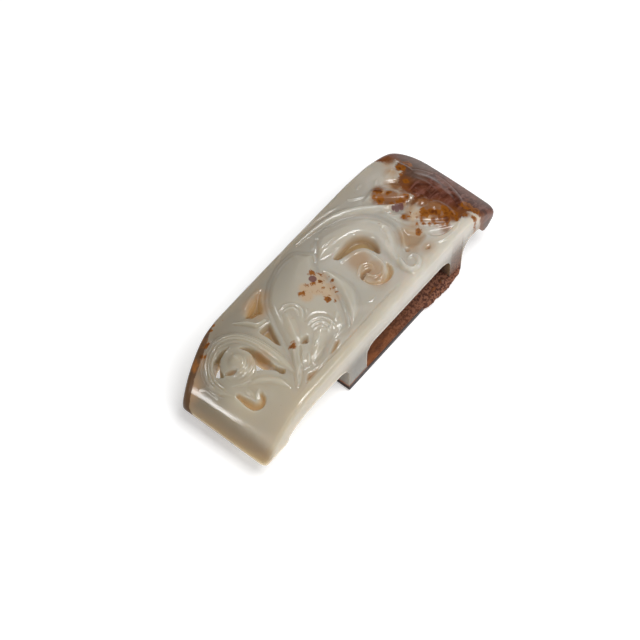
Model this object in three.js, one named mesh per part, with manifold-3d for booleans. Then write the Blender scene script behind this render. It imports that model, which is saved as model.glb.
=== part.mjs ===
// A jade scabbard slide: an arched plate carved with a crawling dragon, on a belt loop with a flat base.
// Millimetres, +Z up, +X along the plate towards its dark end, origin under the middle of the plate.
import * as THREE from "three";
import { mergeVertices } from "three/addons/utils/BufferGeometryUtils.js";
import Module from "manifold-3d";

const wasm = await Module();
wasm.setup();

const HALF_LENGTH = 38;
const HALF_WIDTH = 13;

// Top of the plate, as seen from the side
const CROWN_HEIGHT = 15.6;
const CROWN_TILT = 0.022;
const CROWN_ARCH = 0.0005;
const ROLL_POWER = 1.75;
const PALE_ROLL = { start: -24, rate: 0.079 };
const DARK_ROLL = { start: 25, rate: 0.07 };
const SIDE_CROWN = 0.5;
const EDGE_ROUND = 1.1;

// Plan of the plate
const PALE_TAPER = { start: -20, rate: 0.0138 };
const DARK_TAPER = { start: 20, rate: 0.055 };
const CORNER = { reach: 5, drop: 6 };
const SMALL_CORNER = { reach: 1.1, drop: 1 };

// Underside and loop
const LIP_BOTTOM = 5.6;
const PLATE_BOTTOM = 9.8;
const LOOP_NEAR = -11.4;
const LOOP_FAR = 26.5;
const CRUST = { near: 13.4, far: 26.4, bulge: 0.9, lumps: 0.14, height: 0.85 };
const SLOT = { near: -5.6, far: 22.4, floor: 1.8, roof: 9.5, foot: 0.7, nearRound: 2.6, farRound: 3.6 };

// Carving, as heights over the plate's own surface
const GROUND = { x: 2, y: 1, reach: 29, spread: 11.5, depth: 0.75 };
const SEAT = -1.6;
const BURIED = 1.5;

function topAt(x) {
  const pale = PALE_ROLL.rate * Math.max(0, PALE_ROLL.start - x) ** ROLL_POWER;
  const dark = DARK_ROLL.rate * Math.max(0, x - DARK_ROLL.start) ** ROLL_POWER;
  return CROWN_HEIGHT + CROWN_TILT * x - CROWN_ARCH * x * x - pale - dark;
}

function cornerDrop(x, corner) {
  const into = Math.min(1, Math.max(0, (Math.abs(x) - HALF_LENGTH + corner.reach) / corner.reach));
  return corner.drop * (1 - Math.sqrt(1 - into * into));
}

function leftEdge(x) {
  const pale = PALE_TAPER.rate * Math.max(0, PALE_TAPER.start - x) ** 2;
  const dark = DARK_TAPER.rate * Math.max(0, x - DARK_TAPER.start);
  return HALF_WIDTH - pale - dark - cornerDrop(x, x > 0 ? CORNER : SMALL_CORNER);
}

function rightEdge(x) {
  return cornerDrop(x, SMALL_CORNER) - HALF_WIDTH;
}

function surfaceAt(x, y) {
  return topAt(x) + SIDE_CROWN * (1 - (y / HALF_WIDTH) ** 2);
}

function toSolid(geometry) {
  const bare = geometry.clone();
  bare.deleteAttribute("normal");
  bare.deleteAttribute("uv");
  const merged = mergeVertices(bare, 1e-4);
  const vertProperties = new Float32Array(merged.attributes.position.array);
  const triVerts = new Uint32Array(merged.index.array);
  return new wasm.Manifold(new wasm.Mesh({ numProp: 3, vertProperties, triVerts }));
}

function moveVertices(geometry, place) {
  const position = geometry.attributes.position;
  for (let i = 0; i < position.count; i++) {
    const moved = place(position.getX(i), position.getY(i), position.getZ(i));
    position.setXYZ(i, moved[0], moved[1], moved[2]);
  }
  return geometry;
}

// Side profile with its slot, pushed across the width; its top stands clear of the carving
function sideBlock() {
  const side = new THREE.Shape();
  side.moveTo(-HALF_LENGTH, LIP_BOTTOM + 0.5);
  side.quadraticCurveTo(-HALF_LENGTH, LIP_BOTTOM, -HALF_LENGTH + 1, LIP_BOTTOM);
  side.lineTo(-31.8, LIP_BOTTOM);
  side.quadraticCurveTo(-30.5, LIP_BOTTOM, -30.4, 7.2);
  side.bezierCurveTo(-28.4, 9, -25, PLATE_BOTTOM, -20, PLATE_BOTTOM);
  side.lineTo(-14.5, PLATE_BOTTOM - 0.2);
  side.quadraticCurveTo(LOOP_NEAR, 9.2, LOOP_NEAR, 6.2);
  side.lineTo(LOOP_NEAR, 0.7);
  side.quadraticCurveTo(LOOP_NEAR, 0, LOOP_NEAR + 0.7, 0);
  side.lineTo(LOOP_FAR - 0.7, 0);
  side.quadraticCurveTo(LOOP_FAR, 0, LOOP_FAR, 0.7);
  side.lineTo(LOOP_FAR + 0.1, 5.2);
  side.bezierCurveTo(LOOP_FAR + 0.3, 7.8, 28, 9.2, 29.6, 9.2);
  side.lineTo(31.4, 9.1);
  side.quadraticCurveTo(32.4, 8.8, 33.1, 7.2);
  side.quadraticCurveTo(33.7, 5.9, 34.7, 6);
  side.quadraticCurveTo(36.2, 6.3, HALF_LENGTH - 0.4, 8.6);
  side.lineTo(HALF_LENGTH, 9.2);
  side.lineTo(HALF_LENGTH, CROWN_HEIGHT + 6);
  side.lineTo(-HALF_LENGTH, CROWN_HEIGHT + 6);
  side.closePath();
  side.holes.push(slotOutline());
  const depth = 2 * HALF_WIDTH + 2;
  const block = new THREE.ExtrudeGeometry(side, { depth, bevelEnabled: false, curveSegments: 5 });
  block.rotateX(Math.PI / 2);
  block.translate(0, depth / 2, 0);
  return toSolid(block);
}

function slotOutline() {
  const s = SLOT;
  const slot = new THREE.Path();
  slot.moveTo(s.near + s.foot, s.floor);
  slot.lineTo(s.far - s.foot, s.floor);
  slot.absarc(s.far - s.foot, s.floor + s.foot, s.foot, -Math.PI / 2, 0, false);
  slot.absarc(s.far - s.farRound, s.roof - s.farRound, s.farRound, 0, Math.PI / 2, false);
  slot.absarc(s.near + s.nearRound, s.roof - s.nearRound, s.nearRound, Math.PI / 2, Math.PI, false);
  slot.absarc(s.near + s.foot, s.floor + s.foot, s.foot, Math.PI, 1.5 * Math.PI, false);
  return slot;
}

// The plate's plan, crown and rounded edges, reaching down past the base
function loaf() {
  const box = new THREE.BoxGeometry(2, 2, 2, 32, 8, 1);
  moveVertices(box, (s, across, up) => {
    const x = HALF_LENGTH * Math.sin((s * Math.PI) / 2);
    const left = leftEdge(x);
    const right = rightEdge(x);
    const bent = Math.sin((across * Math.PI) / 2);
    const y = (left + right) / 2 + (bent * (left - right)) / 2;
    const inside = Math.min(left - y, y - right, EDGE_ROUND);
    const gap = EDGE_ROUND - inside;
    const drop = EDGE_ROUND - Math.sqrt(Math.max(0, EDGE_ROUND ** 2 - gap ** 2));
    return [x, y, up > 0 ? surfaceAt(x, y) - drop : -1];
  });
  return toSolid(box);
}

// Sunk ground round the dragon: a step along the right rim, running out to nothing on the other sides
function groundCut() {
  const box = new THREE.BoxGeometry(2, 2, 2, 18, 6, 1);
  moveVertices(box, (s, across, up) => {
    const x = GROUND.x + GROUND.reach * s;
    const y = GROUND.y + GROUND.spread * across;
    const runOut = Math.max(Math.abs(s), across) ** 6;
    const floor = surfaceAt(x, y) - GROUND.depth * (1 - 1.25 * runOut);
    return [x, y, up > 0 ? CROWN_HEIGHT + 4 : floor];
  });
  return toSolid(box);
}

// Rough natural skin that bulges from the base's right edge
function skinCrust() {
  const tube = new THREE.CylinderGeometry(1, 1, 1, 8, 16);
  moveVertices(tube, (a, along, b) => {
    const t = along + 0.5;
    const x = CRUST.near + (CRUST.far - CRUST.near) * t;
    const swell = CRUST.bulge * Math.sin(Math.PI * t) ** 0.6;
    const lumps = CRUST.lumps * (Math.sin(2.3 * x + a) + Math.sin(1.1 * x + 3 * b));
    const reach = 0.6 + Math.max(0, swell + lumps);
    return [x, b * reach - HALF_WIDTH + 0.5, Math.max(0, CRUST.height * (1 + a))];
  });
  return toSolid(tube);
}

function blend(values, t) {
  const at = t * (values.length - 1);
  const i = Math.min(values.length - 2, Math.floor(at));
  return THREE.MathUtils.lerp(values[i], values[i + 1], at - i);
}

function arc(cx, cy, r, fromDeg, toDeg, count, rEnd = r) {
  return Array.from({ length: count }, (_, i) => {
    const t = i / (count - 1);
    const angle = THREE.MathUtils.degToRad(fromDeg + (toDeg - fromDeg) * t);
    const reach = r + (rEnd - r) * t;
    return [cx + reach * Math.cos(angle), cy + reach * Math.sin(angle)];
  });
}

// A form swept along a plan path, facing up (1) or down (-1). The half that faces that way gets three
// quarters of the sides. section gives the height over the plate's surface at a place along the path.
function sweep(path, half, steps, sides, facing, section) {
  const curve = new THREE.CatmullRomCurve3(path.map((p) => new THREE.Vector3(p[0], p[1], 0)));
  const tube = new THREE.CylinderGeometry(1, 1, 1, sides, steps);
  moveVertices(tube, (a, along, b) => {
    const t = 0.5 - along;
    const point = curve.getPoint(t);
    const heading = curve.getTangent(t);
    const turn = (Math.atan2(b, a) + 2 * Math.PI) % (2 * Math.PI);
    const spread = turn < 1.5 * Math.PI ? turn / 1.5 : 2 * turn - 2 * Math.PI;
    const radius = Math.hypot(a, b);
    const offset = facing * radius * Math.cos(spread) * blend(half, t);
    const x = point.x - heading.y * offset;
    const y = point.y + heading.x * offset;
    return [x, y, surfaceAt(x, y) + section(radius * Math.sin(spread), t)];
  });
  return toSolid(tube);
}

function ridge({ path, half, crest, steps = 3 * path.length, sides = 8 }) {
  const section = (b, t) => (b > 0 ? SEAT + (blend(crest, t) - SEAT) * b ** 0.7 : SEAT + BURIED * b);
  return sweep(path, half, steps, sides, 1, section);
}

function gouge({ path, half, depth, steps = 2 * path.length, sides = 8 }) {
  const section = (b, t) => (b > 0 ? -blend(depth, t) * b ** 0.6 : -6 * b);
  return sweep(path, half, steps, sides, -1, section);
}

const TAIL_CURL = { x: -27.2, y: 3, r: 5.8 };

// Each path is in plan, and half widths and crests are spread evenly along it
const ridges = [
  // head, drawn out into a long snout
  {
    path: [[-23.8, -9.8], [-18.8, -4.6], [-13, 1.4], [-6.5, 3.2], [-1.4, 3.4], [2, 5]],
    half: [0.4, 1.5, 5, 7.3, 6.6, 0.8],
    crest: [0, 0.6, 1, 1.3, 1.1, 0.4],
    sides: 12,
  },
  // mane fold along the rim
  {
    path: [[1, 1.4], [0.2, -3], [-2.4, -6.6], [-6, -9.1], [-9.2, -9.9]],
    half: [1, 2, 2, 1.3, 0.4],
    crest: [0.6, 0.9, 0.8, 0.5, 0],
  },
  // two eyes, each under a raised brow
  {
    path: [[-10.6, 1.8], [-12.8, 0.4], [-15.4, -2.4], [-17.2, -4.6]],
    half: [1, 2, 1.5, 0.5],
    crest: [1.4, 1.8, 1.2, 0.4],
  },
  { path: arc(-12.6, 0.9, 2.6, -70, 95, 5), half: [0.3, 0.5, 0.3], crest: [1.2, 1.7, 1.3], steps: 8 },
  {
    path: [[-9.4, -4.9], [-12, -6], [-15.4, -7.7], [-19.2, -9.1]],
    half: [1.2, 2.1, 1.6, 0.4],
    crest: [1.2, 1.6, 1.1, 0.2],
  },
  { path: arc(-11.4, -5.6, 2.7, -60, 100, 5), half: [0.3, 0.5, 0.3], crest: [1, 1.5, 1.1], steps: 8 },
  // strap at the left
  { path: [[-21, 9.4], [-18.8, 7], [-16, 5]], half: [0.5, 1.2, 0.8], crest: [0.2, 0.6, 0.5] },
  // tail, swung round its own curl
  {
    path: [[-21.6, -7.2], [-20.8, -3.4], ...arc(TAIL_CURL.x, TAIL_CURL.y, TAIL_CURL.r, 0, 205, 6)],
    half: [0.5, 1.5, 1.8, 1.8, 1.6, 1.4, 1.2, 0.5],
    crest: [0.1, 0.5, 0.7, 0.8, 0.7, 0.7, 0.6, 0.1],
    steps: 22,
  },
  // curl at the tail's end
  {
    path: [[-27.2, 6], [-27.2, 3], [-27.2, -0.4]],
    half: [1.4, 3.2, 1.6],
    crest: [0, 0.9, 0],
    steps: 10,
    sides: 12,
  },
  // second branch of the tail, and the tongue inside its bend
  {
    path: [[-23.4, -6.4], [-26, -5.2], [-28.4, -3], [-30, -1.2]],
    half: [0.8, 1.5, 1.3, 0.6],
    crest: [0.2, 0.6, 0.5, 0],
  },
  { path: [[-30.2, -1.2], [-30.3, -3], [-30, -4.8]], half: [0.5, 0.7, 0.5], crest: [0.1, 0.4, 0.2] },
  // flank, bending down to its curl
  {
    path: [
      [0.4, 5.4], [5.4, 6.6], [10.4, 5.8], [13.6, 3.6],
      [14.6, 0.2], [13.9, -3.6], [12.4, -7], [11.5, -9.4],
    ],
    half: [1.8, 2.3, 2.4, 2.7, 2.7, 2.3, 1.5, 0.9],
    crest: [0.7, 0.9, 1, 1.1, 1.1, 0.9, 0.7, 0.5],
    steps: 22,
  },
  { path: arc(13.3, -9.7, 1.9, 165, 470, 8, 0.8), half: [0.8, 0.7, 0.4], crest: [0.5, 0.5], steps: 16 },
  // back, from the head to the dark end
  {
    path: [[-3, 11.4], [3, 10.9], [8.6, 10.2], [13.4, 8.7], [17, 6], [19.8, 2.6], [22, 0]],
    half: [0.4, 1.1, 1.5, 1.7, 1.8, 1.7, 0.7],
    crest: [0.1, 0.5, 0.7, 0.9, 1, 0.9, 0.4],
    steps: 18,
  },
  // shoulder scroll
  {
    path: [[2.6, 0.4], [5.4, 0.6], ...arc(6.4, -3.6, 3.1, 70, -250, 9, 1.3)],
    half: [0.9, 1.1, 1, 0.9, 0.5],
    crest: [0.1, 0.4, 0.4, 0.3],
    steps: 26,
  },
  // dark end: two long lobes, the broad end mass and a small ball
  {
    path: [[17.6, 10.2], [21, 7], [24, 3.6], [26.6, 0.4]],
    half: [0.5, 1.9, 2.1, 1],
    crest: [0.2, 0.9, 1, 0.6],
  },
  {
    path: [[19.6, 2], [21.4, -2.4], [24, -6.4], [27.4, -9.8]],
    half: [0.7, 2.5, 2.8, 0.8],
    crest: [0.5, 1.1, 1.1, 0.2],
  },
  {
    path: [[26, 4.4], [29.4, 0.6], [31.6, -3.6], [30, -9]],
    half: [1.2, 3.8, 3.8, 0.9],
    crest: [0.4, 1.1, 1, 0.1],
    sides: 12,
  },
  { path: [[26, 9.4], [28.4, 7.6], [30.6, 6]], half: [0.8, 1.9, 0.7], crest: [0, 0.8, 0] },
];

const gouges = [
  // beside the strap and under the head
  {
    path: [[-18, 8.6], [-15.6, 8], [-13.8, 8.2], [-11.6, 9.6]],
    half: [0.5, 1.2, 1.3, 0.4],
    depth: [1.6, 2.3, 2.3, 1.4],
  },
  { path: [[-18, 3.8], [-18, 2.4], [-18.6, -0.9]], half: [1, 0.9, 0.3], depth: [2.2, 2.5, 1.4] },
  // round the eyes
  { path: [[-16.2, -4.2], [-15.3, -4.6], [-14.4, -4.8]], half: [0.5, 0.9, 0.4], depth: [1.5, 2.1, 1.5] },
  { path: [[-14, -10], [-12.4, -9.7], [-10.8, -9]], half: [0.4, 0.8, 0.5], depth: [1.4, 2, 1.4] },
  { path: [[-21.5, -10.2], [-19.6, -10], [-17.4, -10.3]], half: [0.3, 0.5, 0.3], depth: [1.2, 1.7, 1.2] },
  // inside the second branch of the tail
  {
    path: [[-31.5, -0.8], [-31.7, -3.6], [-30.9, -5.8], [-29.4, -5.8], [-28.8, -4.8]],
    half: [0.4, 0.6, 0.6, 0.6, 0.4],
    depth: [1.5, 2.4, 2.4, 2.1, 1.5],
  },
  // round the shoulder scroll
  {
    path: [[4, 3.2], [6.8, 2.6], [10, 2], [11.4, 0], [10.9, -2.4]],
    half: [0.5, 0.9, 1.1, 0.9, 0.4],
    depth: [2.1, 2.8, 2.9, 2.8, 2.1],
  },
  {
    path: [[3.4, -4.6], [4, -7.2], [6.2, -8.3], [8.5, -7.9], [9.6, -6.4]],
    half: [0.4, 0.6, 0.7, 0.8, 0.4],
    depth: [1.8, 2.4, 2.4, 2.4, 1.8],
  },
  { path: [[3.6, -3.7], [4.8, -3.6], [6, -4]], half: [0.4, 0.5, 0.4], depth: [1.6, 2, 1.4] },
  // between the flank's curl and the lobes
  { path: [[15, -6.8], [17, -5.6], [18.4, -4]], half: [0.8, 1.5, 0.6], depth: [1.8, 1.9, 1.4] },
  { path: [[20.2, -8.2], [22, -9.4], [24.8, -11]], half: [0.7, 1.3, 0.6], depth: [1.2, 2, 1.2] },
  { path: [[24.6, 6.4], [26.2, 4.4], [27.6, 3.4]], half: [0.4, 0.7, 0.4], depth: [0.6, 1.2, 0.6] },
];

// Gaps that run right through the plate on both sides of the tail curl
const gaps = [
  {
    path: [[-24.1, 4.2], [-23.6, 1.6], [-24, -1.2], [-23.3, -3.4], [-22.9, -5.6]],
    half: [0.4, 0.8, 1.2, 0.7, 0.35],
  },
  { path: [[-30.5, 4], [-29.6, 5.3], [-28, 6.6], [-25.8, 6.6]], half: [0.4, 0.9, 0.6, 0.35] },
];

function makeSlide() {
  let slide = sideBlock().intersect(loaf()).subtract(groundCut()).add(skinCrust());
  ridges.forEach((form) => {
    slide = slide.add(ridge(form));
  });
  gouges.forEach((form) => {
    slide = slide.subtract(gouge(form));
  });
  gaps.forEach((form) => {
    slide = slide.subtract(gouge({ ...form, depth: [9, 9] }));
  });
  return slide;
}

function toMesh(solid, name, colour) {
  const data = solid.getMesh();
  const geometry = new THREE.BufferGeometry();
  geometry.setAttribute("position", new THREE.BufferAttribute(data.vertProperties, 3));
  geometry.setIndex(new THREE.BufferAttribute(data.triVerts, 1));
  geometry.computeVertexNormals();
  const material = new THREE.MeshStandardMaterial({ color: colour, roughness: 0.25 });
  const mesh = new THREE.Mesh(geometry, material);
  mesh.name = name;
  return mesh;
}

const group = new THREE.Group();
group.name = "jade_scabbard_slide";
group.add(toMesh(makeSlide(), "slide", 0xb9b7a8));

export default group;
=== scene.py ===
import math
import bmesh
import bpy
import numpy as np
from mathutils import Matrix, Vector, noise


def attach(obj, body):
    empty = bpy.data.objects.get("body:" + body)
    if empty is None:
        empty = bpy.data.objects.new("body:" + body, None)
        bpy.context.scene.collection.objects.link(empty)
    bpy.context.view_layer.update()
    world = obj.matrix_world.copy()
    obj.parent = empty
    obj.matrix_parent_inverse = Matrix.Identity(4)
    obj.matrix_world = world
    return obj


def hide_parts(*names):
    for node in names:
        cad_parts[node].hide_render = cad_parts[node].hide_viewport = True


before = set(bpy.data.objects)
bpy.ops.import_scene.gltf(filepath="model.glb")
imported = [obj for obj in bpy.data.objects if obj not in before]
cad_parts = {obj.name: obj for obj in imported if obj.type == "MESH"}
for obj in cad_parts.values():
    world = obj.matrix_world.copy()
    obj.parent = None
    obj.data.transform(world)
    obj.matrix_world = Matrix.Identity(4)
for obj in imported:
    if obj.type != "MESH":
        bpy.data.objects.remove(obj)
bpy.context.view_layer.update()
print("frame loaded", sorted(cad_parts))

mm = 0.001

plate = {
    "halfLength": 38.0,
    "halfWidth": 13.0,
    "crown": 15.6, "tilt": 0.022, "arch": 0.0005,   # side line of the top
    "rollPower": 1.75,
    "paleStart": -24.0, "paleRate": 0.079,
    "darkStart": 25.0, "darkRate": 0.07,
    "sideCrown": 0.5,
    "edgeRound": 1.1,
    "paleTaperStart": -20.0, "paleTaper": 0.0138,   # plan of the left side
    "darkTaperStart": 20.0, "darkTaper": 0.055,
    "cornerReach": 5.0, "cornerDrop": 6.0,
    "smallReach": 1.1, "smallDrop": 1.0,
    "gridX": 490, "gridY": 172, "floor": -2.0,
    "creaseX": -35.3, "creaseLean": -0.055, "creaseRise": 0.55, "creaseRun": 5.0, "creaseSoft": 0.45,
    "creaseFade": (-12.0, 4.0),   # the crease dies away towards the right side
}


def topAt(x):
    p = plate
    pale = p["paleRate"] * np.maximum(0.0, p["paleStart"] - x) ** p["rollPower"]
    dark = p["darkRate"] * np.maximum(0.0, x - p["darkStart"]) ** p["rollPower"]
    return p["crown"] + p["tilt"] * x - p["arch"] * x * x - pale - dark


def cornerDrop(x, reach, drop):
    into = np.clip((np.abs(x) - plate["halfLength"] + reach) / reach, 0.0, 1.0)
    return drop * (1.0 - np.sqrt(1.0 - into * into))


def leftEdge(x):
    p = plate
    pale = p["paleTaper"] * np.maximum(0.0, p["paleTaperStart"] - x) ** 2
    dark = p["darkTaper"] * np.maximum(0.0, x - p["darkTaperStart"])
    big = cornerDrop(x, p["cornerReach"], p["cornerDrop"])
    small = cornerDrop(x, p["smallReach"], p["smallDrop"])
    return p["halfWidth"] - pale - dark - np.where(x > 0, big, small)


def rightEdge(x):
    return cornerDrop(x, plate["smallReach"], plate["smallDrop"]) - plate["halfWidth"]


def surfaceAt(x, y):
    return topAt(x) + plate["sideCrown"] * (1.0 - (y / plate["halfWidth"]) ** 2)


def smoothStep(low, high, v):
    t = np.clip((v - low) / (high - low), 0.0, 1.0)
    return t * t * (3.0 - 2.0 * t)


def smoothMax(a, b, soft):
    d = np.clip(0.5 + 0.5 * (b - a) / soft, 0.0, 1.0)
    return a * (1.0 - d) + b * d + soft * d * (1.0 - d)


def arcPath(cx, cy, r, fromDeg, toDeg, count):
    path = []
    for i in range(count):
        t = i / (count - 1)
        a = math.radians(fromDeg + (toDeg - fromDeg) * t)
        path.append((cx + r * math.cos(a), cy + r * math.sin(a)))
    return path


def curveAt(a, b, c, d, t):
    square, cube = 2 * a - 5 * b + 4 * c - d, 3 * b - a - 3 * c + d
    return 0.5 * (2 * b + (c - a) * t + square * t ** 2 + cube * t ** 3)


def flowLine(points, closed=False, per=8):  # a flowing line through a few plan points
    p = np.array(points, float)
    if closed:
        p = np.vstack([p[-1:], p, p[:2]])
    else:
        p = np.vstack([2 * p[:1] - p[1:2], p, 2 * p[-1:] - p[-2:-1]])
    t = np.linspace(0.0, 1.0, per, endpoint=False)[:, None]
    n = len(p) - 3
    return np.vstack([curveAt(*p[i:i + 4], t) for i in range(n)] + [p[-2:-1]])


def spread(values, along):  # values set at even places, eased between them
    v = np.array(values, float)
    v = np.concatenate([[2 * v[0] - v[1]], v, [2 * v[-1] - v[-2]]])
    n = len(values) - 1
    s = np.clip(along, 0.0, 1.0) * n
    i = np.minimum(s.astype(int), n - 1)
    low, high = min(values), max(values)
    return np.clip(curveAt(v[i], v[i + 1], v[i + 2], v[i + 3], s - i), low, high)


def nearBox(x, y, line, reach):
    low, high = line.min(0) - reach, line.max(0) + reach
    return np.nonzero((x > low[0]) & (x < high[0]) & (y > low[1]) & (y < high[1]))[0]


# distance from a stroke, place along it and its half width, for the points near it
def strokeField(x, y, form, extra=0.8):
    line = flowLine(form["path"])
    near = nearBox(x, y, line, max(form["half"]) + extra)
    px, py = x[near], y[near]
    best = np.full(len(near), 1e9)
    along = np.zeros(len(near))
    n = len(line) - 1
    for i in range(n):
        ax, ay = line[i]
        dx, dy = line[i + 1] - line[i]
        s = np.clip(((px - ax) * dx + (py - ay) * dy) / (dx * dx + dy * dy), 0.0, 1.0)
        d = np.hypot(px - ax - s * dx, py - ay - s * dy)
        closer = d < best
        best[closer] = d[closer]
        along[closer] = (i + s[closer]) / n
    return near, best, along, spread(form["half"], along)


# distance inside a closed outline, less than nothing outside
def regionField(x, y, outline, extra=1.2):
    line = flowLine(outline, True)
    near = nearBox(x, y, line, extra)
    px, py = x[near], y[near]
    best = np.full(len(near), 1e9)
    inside = np.zeros(len(near), bool)
    for (ax, ay), (bx, by) in zip(line[:-1], line[1:]):
        dx, dy = bx - ax, by - ay
        s = np.clip(((px - ax) * dx + (py - ay) * dy) / (dx * dx + dy * dy), 0.0, 1.0)
        best = np.minimum(best, np.hypot(px - ax - s * dx, py - ay - s * dy))
        inside ^= ((ay > py) != (by > py)) & (px < ax + dx * (py - ay) / (dy if dy else 1e-9))
    return near, np.where(inside, best, -best)


def shifted(points, off):  # the same line, moved sideways
    p = np.array(points, float)
    t = np.gradient(p, axis=0)
    t /= np.hypot(t[:, 0], t[:, 1])[:, None]
    return [(a - off * v, b + off * u) for (a, b), (u, v) in zip(p, t)]


ground = {"x": 3.0, "y": 1.2, "reach": 29.0, "spread": 12.4, "depth": 0.55}

# closed forms: outline in plan, foot and rise of the rounded edge, swell towards the middle
plateaus = [
    {"name": "mane fold", "edge": 1.7, "foot": -0.75, "rise": -0.05, "swell": 0.3, "reach": 1.6,
     "outline": [(0.2, 3.4), (1.3, 1), (1.5, -2), (0.9, -5), (-0.6, -7.3), (-2.6, -9), (-5, -10),
                 (-7.9, -10.3), (-6.7, -9), (-5.3, -7.4), (-4, -5.6), (-2.6, -3.2), (-1.5, -0.8)]},
    {"name": "head", "edge": 1.9, "foot": -0.85, "rise": 0.35, "swell": 0.75, "reach": 6.5,
     "outline": [(-24.2, -9.9), (-22.4, -7.6), (-20.5, -5.3), (-18.5, -1.8), (-16.1, 3), (-13.6, 7),
                 (-10, 9.6), (-6, 10.9), (-3, 11.2), (-0.2, 10.7), (1.2, 9), (2.3, 6.9), (1.2, 5.7),
                 (-0.1, 4.2), (-0.7, 1.8), (-1.6, -1), (-2.8, -3.6), (-4.1, -6), (-5.5, -7.9), (-7, -9.3),
                 (-9, -9.3), (-10.6, -8.7), (-13, -9), (-15.6, -9.6), (-18, -9.5), (-20.4, -9),
                 (-22.2, -9.6)]},
    {"name": "flank", "edge": 1.6, "foot": -0.85, "rise": 0.2, "swell": 0.25, "reach": 2.2,
     "outline": [(1.4, 5.2), (2.5, 7), (4.2, 8.6), (6, 9.1), (8, 8.7), (10, 8), (12, 7), (13.6, 5.9),
                 (15.2, 4.3), (16.4, 2.3), (17, 0), (16.5, -2), (15, -4.3), (13.2, -6), (12, -7.8),
                 (11.4, -9.4), (10.2, -9.8), (10.1, -7.6), (10.6, -5.2), (11.1, -2.8), (11.8, -0.5),
                 (11.6, 1.2), (10.4, 2.6), (8.3, 3.4), (6, 3.9), (3.6, 4.2)]},
    {"name": "inner lobe", "edge": 1.2, "foot": -0.8, "rise": 0.25, "swell": 0.4, "reach": 2.0,
     "outline": [(18.2, 7.2), (20.3, 7.9), (22.4, 7.7), (23.9, 5.6), (25.3, 3), (26.3, 1.2), (27.1, -0.4),
                 (25.4, -0.5), (23.7, 0), (22, 1.6), (20.4, 3.7), (18.8, 5.6)]},
    {"name": "middle lobe", "edge": 1.5, "foot": -0.9, "rise": 0.2, "swell": 0.3, "reach": 3.0,
     "outline": [(18.9, 1.4), (19.1, -1.5), (19.8, -4), (21.2, -6.3), (22.8, -8.2), (24.6, -9.8),
                 (26.6, -10.5), (28.6, -9.9), (29.6, -7.6), (29.5, -5), (28.5, -3), (27.6, -1.2),
                 (26.2, -0.4), (24, -0.6), (22, -1), (20.5, 0.3)]},
    {"name": "end mass", "edge": 2.8, "foot": -0.35, "rise": -0.1, "swell": 0.4, "reach": 4.2,
     "outline": [(26.5, 1.8), (27.7, 4.2), (30, 5.5), (33, 5.1), (35.3, 2.6), (36, -0.5), (35, -4),
                 (33.4, -7), (31.5, -9.4), (29.8, -10.5), (29, -9.4), (29.6, -6.5), (28.8, -3),
                 (27.6, -0.5)]},
    {"name": "small ball", "edge": 1.8, "foot": -0.45, "rise": -0.1, "swell": 0.25, "reach": 1.6,
     "outline": [(26, 7.4), (27.4, 8.6), (29.4, 8.6), (30.2, 7.4), (28.8, 6.3), (27.2, 6.3)]},
    {"name": "curl ball", "edge": 2.4, "foot": -0.9, "rise": 0.15, "swell": 0.55, "reach": 3.2,
     "outline": [(-30.1, 3.4), (-29.3, 5.1), (-28, 6), (-26.4, 6.3), (-24.9, 5.7), (-24, 4.2), (-23.9, 2.2),
                 (-24.6, 0.3), (-25.6, -1), (-27.2, -1.9), (-28.8, -1.4), (-29.9, 0.2), (-30.4, 1.8)]},
]

# rounded strokes: plan path, half widths and crests along it
tailLine = [(-21.6, -7.2), (-21.2, -3.2), (-21.2, 0), (-21.5, 3.2), (-22.4, 6), (-24.2, 8), (-26.6, 8.9),
            (-29, 8.7), (-31.2, 7.4), (-32.6, 5), (-32.9, 2.2), (-32, -0.2)]
backLine = [(1.6, 11.3), (5.5, 10.9), (9.5, 10.2), (13, 8.9), (16, 6.8), (18.4, 4.3), (20.6, 1.8), (23.2, 0)]
ridges = [
    {"name": "tail", "path": tailLine, "half": [0.7, 1.4, 1.5, 1.6, 1.6, 1.6, 1.6, 1.6, 1.5, 1.4, 1.2, 0.6],
     "crest": [-0.1, 0.2, 0.3, 0.35, 0.4, 0.4, 0.4, 0.4, 0.4, 0.4, 0.3, 0.0]},
    {"name": "tail branch", "path": [(-29, -1.6), (-27.4, -2.7), (-25.9, -4.6), (-25.1, -6.6), (-24.8, -8.6)],
     "half": [0.7, 1.2, 1.3, 1.3, 0.6], "crest": [0.0, 0.35, 0.35, 0.4, 0.1]},
    {"name": "branch tongue", "path": [(-29.8, -1.4), (-30, -3), (-30.2, -5.1)],
     "half": [0.6, 0.8, 0.35], "crest": [0.0, 0.2, -0.2]},
    {"name": "left strap", "path": [(-20.6, 9.4), (-18.9, 7), (-18, 5.3), (-16.4, 4.8)],
     "half": [0.4, 0.7, 0.7, 0.6], "crest": [0.0, 0.5, 0.5, 0.2]},
    {"name": "back", "path": backLine, "half": [0.5, 0.8, 1.0, 1.2, 1.2, 1.1, 1.0, 0.5],
     "crest": [0.0, 0.2, 0.35, 0.45, 0.55, 0.6, 0.6, 0.3]},
    {"name": "flank curl", "path": [(11.6, -7.6), (11, -9.2), (11.1, -10.5), (12.2, -11.2), (13.6, -11),
                                    (14.6, -10), (14.4, -8.8), (13.4, -8.5)],
     "half": [0.8, 1.0, 1.0, 1.0, 1.0, 1.0, 0.8, 0.5], "crest": [0.3, 0.5, 0.6, 0.6, 0.5, 0.3, 0.1, 0.0]},
    {"name": "scoop rim", "path": [(19.4, -10.2), (20.6, -11.2), (22.6, -11.8), (25, -11.9), (27.6, -11.2),
                                   (29.4, -10.4)],
     "half": [0.5, 0.7, 0.7, 0.7, 0.6, 0.4], "crest": [-0.1, 0.2, 0.25, 0.25, 0.2, 0.0]},
]

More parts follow.
